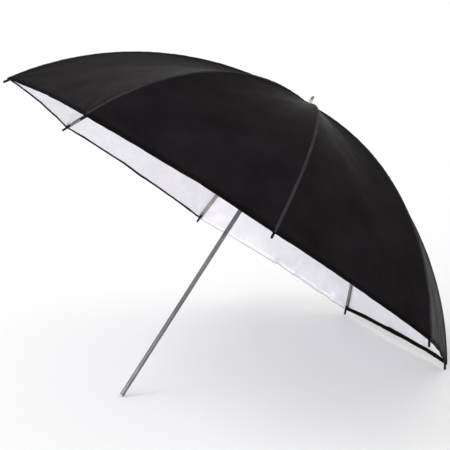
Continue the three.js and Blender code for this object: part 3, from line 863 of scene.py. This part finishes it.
def rib_shape():
    """(points, faces) in the spoke's frame: the channel, the eye on the crown's wire and the tongue
    that goes into the tip."""
    start = math.asin(RIB["start"] / RIB_RADIUS)
    end = RIM_ANGLE - (TIP["inside"] + GAP) / RIB_RADIUS
    body = swept(channel(RIB["width"], RIB["depth"], RIB["wall"]), *rib_path(start, end, 72))
    eye_radius, hole, reach = 0.0019, 0.0009, RIB["start"] - HINGE[0] + 0.005
    outline = []
    low, high = -0.0013, RIB["depth"] / 2 - RIB["wall"] + 0.0003
    for turn in np.linspace(math.asin(high / eye_radius), 2 * math.pi + math.asin(low / eye_radius), 28):
        outline.append((HINGE[0] + eye_radius * math.cos(turn), HINGE[1] + eye_radius * math.sin(turn)))
    outline += [(HINGE[0] + reach, HINGE[1] + low), (HINGE[0] + reach, HINGE[1] + high)]
    eye = flat_plate(outline[::-1], 0.0014)
    bore = turned([(0.0, -0.003), (hole, -0.003), (hole, 0.003), (0.0, 0.003)], 24)
    bore = ([(HINGE[0] + x, z, HINGE[1] + y) for x, y, z in bore[0]], [f[::-1] for f in bore[1]])
    tongue_start = RIM_ANGLE - (TIP["inside"] + GAP + 0.002) / RIB_RADIUS
    tongue = swept(rounded([(-0.00085, -0.001), (0.00085, -0.001), (0.00085, 0.001), (-0.00085, 0.001)],
                           0.0003, 2), *rib_path(tongue_start, tongue_start + 0.012 / RIB_RADIUS, 6))
    return combined(combined(body, [eye, tongue], "UNION"), [bore], "DIFFERENCE")


def tip_shape():
    """(points, faces) of a rib's cap in the spoke's frame: a short tube with a round end."""
    radius, inside = TIP["radius"], TIP["inside"]
    length = inside + TIP["outside"]
    profile = [(0.0, TIP["bore_depth"]), (TIP["bore"], TIP["bore_depth"]), (TIP["bore"], 0.0002),
               (TIP["bore"] + 0.0002, 0.0), (radius - 0.00025, 0.0), (radius - 0.00005, 0.00025),
               (radius - 0.00008, inside - 0.0014), (radius, inside - 0.0008), (radius, inside + 0.0012)]
    for turn in np.linspace(0.0, math.pi / 2, 12):
        profile.append((radius * math.cos(turn), length - radius + radius * math.sin(turn)))
    profile[-1] = (0.0, length)
    points, faces = turned(profile, 36)
    x, z = on_arc(RIB_RADIUS, RIM_ANGLE)
    turn = Matrix.Translation((x, 0.0, z)) @ Matrix.Rotation(RIM_ANGLE + math.pi / 2, 4, "Y")
    shift = Matrix.Translation((0.0, 0.0, -inside))
    return [tuple(turn @ shift @ Vector(p)) for p in points], faces


def hard_piece(name, shape, matrix, material, body, replaced, sharp=35):
    points, faces = shape
    mesh = smooth_by_angle(mesh_of(name, placed(matrix, points), faces, [material]), sharp)
    return piece(name, mesh, body, replaced)


def make_ribs():
    rib, tip = rib_shape(), tip_shape()
    for number in range(1, SPOKES + 1):
        matrix, body = spoke_frame(number), f"rib_body_{number}"
        hard_piece(f"rib_bar_{number}", rib, matrix, NICKEL, body, [f"rib_{number}"])
        hard_piece(f"tip_cap_{number}", tip, matrix, TIP_PLASTIC, body,
                   [f"rib_tip_{number}"])


# ---------------------------------------------------------------- shaft, crown, ferrule and runner


def make_shaft():
    radius, bore = SHAFT["radius"], SHAFT["bore"]
    profile = rounded([(bore, SHAFT["end"]), (radius, SHAFT["end"]), (radius, SHAFT["top"]),
                       (bore, SHAFT["top"])], 0.00015, 3)
    runner_bottom = RUNNER["z"] - RUNNER["below"]
    window = block((-KEYWAY["half_width"], -0.006, runner_bottom - GAP - CATCH_NOSE - 0.001),
                   (KEYWAY["half_width"], -0.0027, runner_bottom + GAP))
    tube = combined(turned(profile, 96), [window], "DIFFERENCE")
    hard_piece("shaft", tube, UMBRELLA, CHROME, "shaft", ["shaft_tube"])
    plug = [(0.0, SHAFT["end"] + 0.0004), (0.0018, SHAFT["end"] + 0.0001), (bore - 0.0006, SHAFT["end"]),
            (bore - GAP, SHAFT["end"] + 0.0003), (bore - GAP, SHAFT["end"] + PLUG_LENGTH),
            (0.0, SHAFT["end"] + PLUG_LENGTH)]
    hard_piece("shaft_plug", turned(plug, 64), UMBRELLA, PLASTIC, "shaft", ["end_plug"])


def slotted_ring(profile, slot, bottom, top, outer):
    cuts = [
        block((slot["floor"], -slot["width"] / 2, bottom - 0.001),
              (outer + 0.001, slot["width"] / 2, top + 0.001), azimuth(number))
        for number in range(1, SPOKES + 1)
    ]
    return combined(turned(rounded(profile, 0.0004, 3), 96), cuts, "DIFFERENCE")


def make_crown():
    inner, outer, bottom, top = (CROWN[key] for key in ("inner", "outer", "bottom", "top"))
    profile = [(inner, bottom), (outer, bottom), (outer, top), (inner, top)]
    ring = slotted_ring(profile, CROWN_SLOT, bottom, top, outer)
    hard_piece("crown_ring", ring, UMBRELLA, PLASTIC, "shaft", ["crown"])


def make_ferrule():
    bottom, shank, tip = PIN["bottom"], PIN["shank"], PIN["tip"]
    pin = [(0.0, bottom), (shank - GAP, bottom), (shank, bottom + GAP), (shank, PIN["shank_top"]),
           (tip, PIN["shank_top"])]
    for turn in np.linspace(0.0, math.pi, 7):
        pin.append((tip - 0.0001 * math.sin(turn), PIN["groove"] + 0.0004 * turn))
    for turn in np.linspace(0.0, math.pi / 2, 12):
        pin.append((tip * math.cos(turn), PIN["top"] - tip + tip * math.sin(turn)))
    pin[-1] = (0.0, PIN["top"])
    hard_piece("ferrule_tip", turned(pin, 72), UMBRELLA, CHROME, "shaft", ["ferrule_pin"])
    bore, flange, body = COLLAR_RING["bore"], COLLAR_RING["flange"], COLLAR_RING["body"]
    low, step, top = COLLAR_RING["bottom"], COLLAR_RING["flange_top"], COLLAR_RING["top"]
    collar = rounded([(bore, low), (flange, low), (flange, step), (body, step + 0.0008),
                      (body, top - 0.0008), (bore + 0.0005, top), (bore, top)], 0.00035, 3)
    hard_piece("ferrule_ring", turned(collar, 72), UMBRELLA, COLLAR, "shaft",
               ["ferrule_collar"], 50)


def make_patch():
    """The round of cloth under the ferrule, with a folded and stitched edge."""
    inner, outer, bottom, top = (PATCH[key] for key in ("inner", "outer", "bottom", "top"))
    profile = [(inner, bottom), (outer - 0.0004, bottom - 0.0001), (outer, bottom + 0.0002),
               (outer - 0.0003, top - 0.0001), (outer - 0.0015, top + 0.0001), (outer - 0.0030, top - 0.0001),
               (inner, top)]
    points, faces = turned(profile, 96)
    flat = [(p[0], p[1]) for p in points]
    flat_corners = [flat[vertex] for face in faces for vertex in face]
    # The patch takes the lighter seam satin: a painted highlight.
    mesh = mesh_of("patch", placed(UMBRELLA, points), faces, [SEAM_SATIN_PAINTED_HIGHLIGHT], None, None, flat_corners)
    made = piece("patch", smooth_by_angle(mesh, 50), "shaft", ["canopy_patch"])


def make_runner():
    z, inner, outer = RUNNER["z"], RUNNER["inner"], RUNNER["outer"]
    bottom, top = z - RUNNER["below"], z + RUNNER["above"]
    lip, lip_top = RUNNER_LIP["radius"], bottom + RUNNER_LIP["height"]
    profile = rounded([(inner, bottom), (lip, bottom), (lip, lip_top), (outer, lip_top + 0.001),
                       (outer, top), (inner, top)], 0.0005, 3)
    keyway = block((-KEYWAY["half_width"], -KEYWAY["depth"], bottom - 0.001),
                   (KEYWAY["half_width"], 0.0, top + 0.001))
    sleeve = combined(turned(profile, 96), [keyway], "DIFFERENCE")
    hard_piece("runner", sleeve, UMBRELLA, CHROME, "runner", ["runner_sleeve"])
    half = NOTCH_RING["half_height"]
    ring = [(NOTCH_RING["inner"], z - half), (NOTCH_RING["outer"], z - half),
            (NOTCH_RING["outer"], z + half), (NOTCH_RING["inner"], z + half)]
    notched = slotted_ring(ring, NOTCH_SLOT, z - half, z + half, NOTCH_RING["outer"])
    hard_piece("notch_ring", notched, UMBRELLA, PLASTIC, "runner",
               ["runner_notch_ring"])


def finish_cad_nodes():
    """The solids that keep their shape get their material, and the stretchers and rib joints a small bevel on
    their edges.
    """
    wanted = {"stop_pin": WIRE, "crown_pin": WIRE, "crown_wire": WIRE, "runner_wire": WIRE,
              "catch_spring": SPRING}
    for number in range(1, SPOKES + 1):
        wanted[f"stretcher_{number}"] = NICKEL
        wanted[f"rib_joint_{number}"] = NICKEL
    for name, material in wanted.items():
        node = nodes[name]
        node.data.materials.clear()
        node.data.materials.append(material)
        if name.startswith(("stretcher", "rib_joint")):
            bevel = node.modifiers.new("Edges", "BEVEL")
            bevel.width = 0.00012
            bevel.segments = 2
            bevel.limit_method = "ANGLE"
            bevel.angle_limit = math.radians(40)


# ---------------------------------------------------------------- stage


def make_camera():
    lens = bpy.data.cameras.new("camera")
    lens.lens = CAMERA["lens"]
    lens.sensor_width = 36
    lens.clip_end = 100
    camera = bpy.data.objects.new("camera", lens)
    bpy.context.scene.collection.objects.link(camera)
    turn, rise = math.radians(CAMERA["azimuth"]), math.radians(CAMERA["elevation"])
    back = Vector((math.sin(turn) * math.cos(rise), -math.cos(turn) * math.cos(rise), math.sin(rise)))
    camera.location = CAMERA_TARGET + back * CAMERA["distance"]
    looking = (-back).to_track_quat("-Z", "Y").to_matrix()
    roll = Matrix.Rotation(math.radians(CAMERA["roll"]), 3, "Z")
    camera.rotation_euler = (looking @ roll).to_euler()
    bpy.context.scene.camera = camera


def make_floor():
    shader = Shader("floor", Specular_IOR_Level=0.1)
    marks = shader.noise(shader.object_place(), 2.0, 3.0)
    shader.drive("Base Color", shader.colours(marks, (0.3, (0.91, 0.91, 0.91)), (0.7, (0.93, 0.93, 0.93))))
    shader.drive("Roughness", shader.spread(marks, 0.80, 0.88))
    half = 30.0
    points = [(-half, -half, 0), (half, -half, 0), (half, half, 0), (-half, half, 0)]
    mesh = mesh_of("floor", points, [(0, 1, 2, 3)], [shader.material])
    floor = bpy.data.objects.new("floor", mesh)
    bpy.context.scene.collection.objects.link(floor)


def softbox(name, place, size, power, colour=(1.0, 1.0, 1.0)):
    light = bpy.data.lights.new(name, "AREA")
    light.shape = "RECTANGLE"
    light.size, light.size_y = size
    light.energy = power
    light.color = colour
    made = bpy.data.objects.new(name, light)
    bpy.context.scene.collection.objects.link(made)
    made.location = place
    made.rotation_euler = (CAMERA_TARGET - Vector(place)).to_track_quat("-Z", "Y").to_euler()


def make_lights():
    world = bpy.data.worlds.new("studio")
    world.use_nodes = True
    background = world.node_tree.nodes["Background"]
    background.inputs["Color"].default_value = (1.0, 1.0, 1.0, 1.0)
    background.inputs["Strength"].default_value = 0.96
    bpy.context.scene.world = world
    softbox("overhead", (-9.0, 5.0, 17.0), (8.0, 8.0), 700)
    softbox("low_left", (-3.2, -1.6, 0.9), (2.2, 1.4), 20)


make_camera()
make_canopy()
make_ribs()
make_shaft()
make_crown()
make_ferrule()
make_patch()
make_runner()
finish_cad_nodes()
make_floor()
make_lights()
bpy.context.scene.view_settings.view_transform = "Standard"
